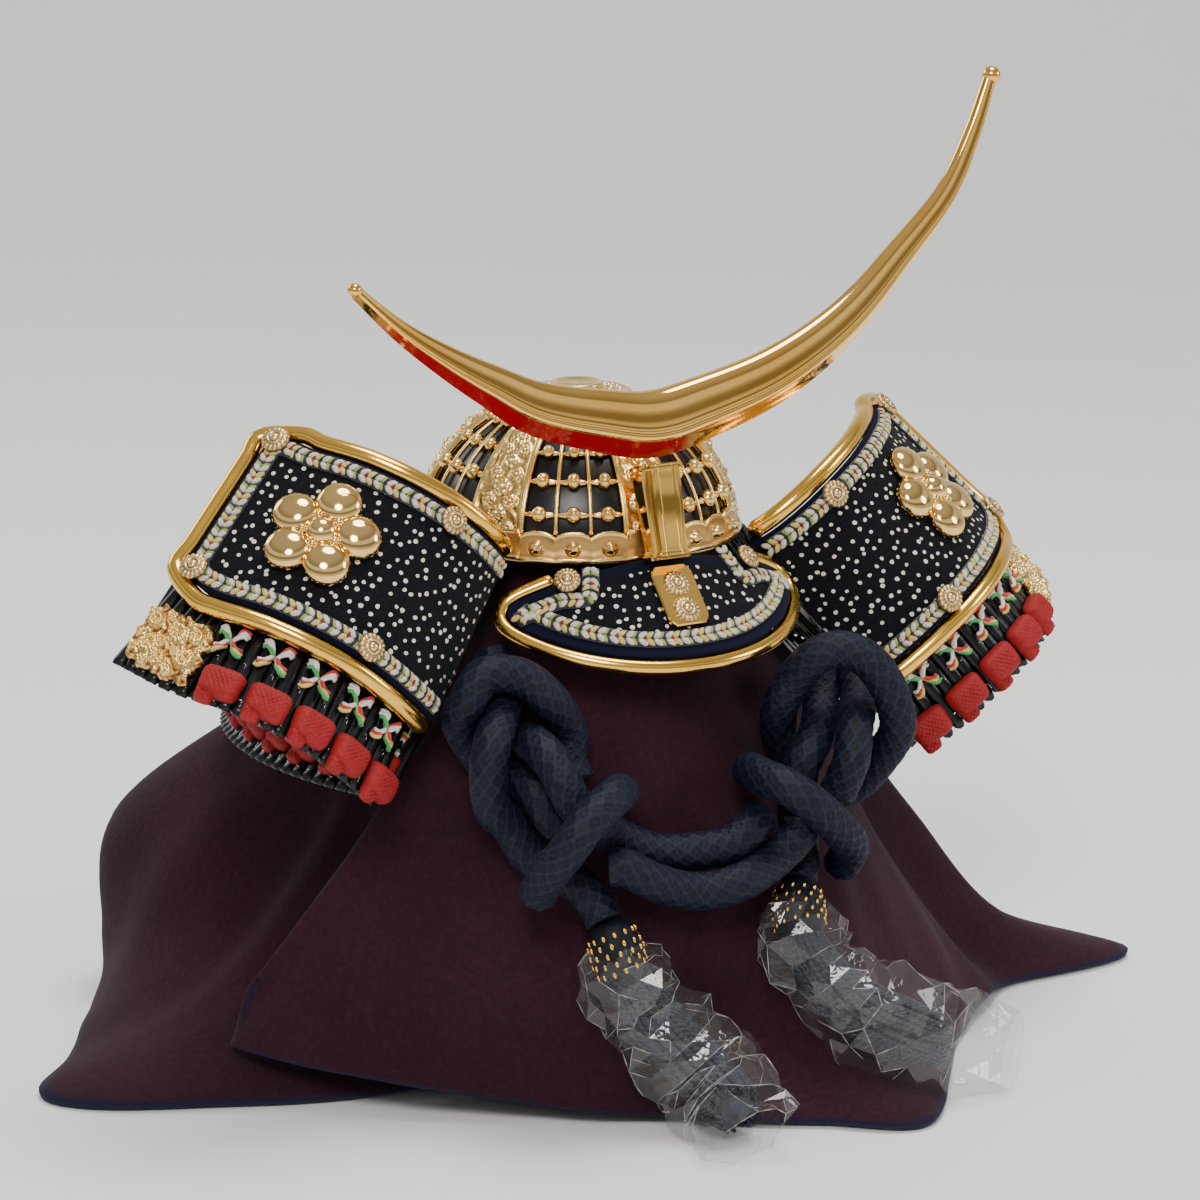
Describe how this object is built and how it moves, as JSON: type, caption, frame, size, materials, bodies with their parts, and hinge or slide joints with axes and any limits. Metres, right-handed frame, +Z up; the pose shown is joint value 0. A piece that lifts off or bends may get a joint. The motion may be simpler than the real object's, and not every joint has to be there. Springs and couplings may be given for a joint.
{
  "type": "samurai helmet on a cloth-draped stand",
  "caption": "Ornamental samurai helmet with a tall crescent crest, braided cords and tassels, on a stand under a draped cloth.",
  "frame": {"origin": "centre of the stand foot's underside, on the floor below the bowl's axis", "axes": "+Z up along the bowl's axis; the helmet faces -Y; +X to the right in a view from the front"},
  "size_m": [0.226, 0.194, 0.1838],
  "materials": {
    "gilt": "bright gilt metal",
    "pale_gilt": "pale embossed gilt",
    "polished_gold": "mirror-polished gold plate",
    "black_lacquer": "gloss black lacquer",
    "black_cloth": "black felt with pale dots",
    "braid": "woven many-coloured braid",
    "red_silk": "scarlet woven cord",
    "navy_silk": "dark navy braided cord",
    "pale_wood": "plain pale wood",
    "plum_crepe": "dark purple fine crepe"
  },
  "bodies": {
    "root": {"base_band": "gilt", "bowl": "black_lacquer", "cloth": "plum_crepe", "cord_left": "navy_silk", "cord_right": "navy_silk", "corner_fitting_left": "gilt", "corner_fitting_right": "gilt", "crest": "polished_gold", "crest_holder": "gilt", "crest_tab": "gilt", "cross_lacing_left": "braid", "cross_lacing_right": "braid", "finial": "gilt", "flap_braid_left": "braid", "flap_braid_right": "braid", "flap_left": "black_cloth", "flap_right": "black_cloth", "flap_rim_left": "gilt", "flap_rim_right": "gilt", "flap_rivet_left_1": "pale_gilt", "flap_rivet_left_2": "pale_gilt", "flap_rivet_left_3": "pale_gilt", "flap_rivet_left_4": "pale_gilt", "flap_rivet_right_1": "pale_gilt", "flap_rivet_right_2": "pale_gilt", "flap_rivet_right_3": "pale_gilt", "flap_rivet_right_4": "pale_gilt", "hanger_right": "navy_silk", "link_lower": "navy_silk", "link_upper": "navy_silk", "loop_left": "navy_silk", "loop_right": "navy_silk", "neck_lame_1": "black_lacquer", "neck_lame_2": "black_lacquer", "neck_lame_3": "black_lacquer", "peak": "black_cloth", "peak_braid": "braid", "peak_rim": "gilt", "peak_rivet_left": "pale_gilt", "peak_rivet_right": "pale_gilt", "plum_left": "polished_gold", "plum_right": "polished_gold", "red_lacing_left": "red_silk", "red_lacing_right": "red_silk", "rib_cage": "gilt", "slat_lame_left": "black_lacquer", "slat_lame_right": "black_lacquer", "stand": "pale_wood", "tab_rivet_lower": "pale_gilt", "tab_rivet_upper": "pale_gilt", "tassel_left": "navy_silk", "tassel_right": "navy_silk", "wrap_left": "navy_silk", "wrap_right": "navy_silk"}
  },
  "joints": []
}
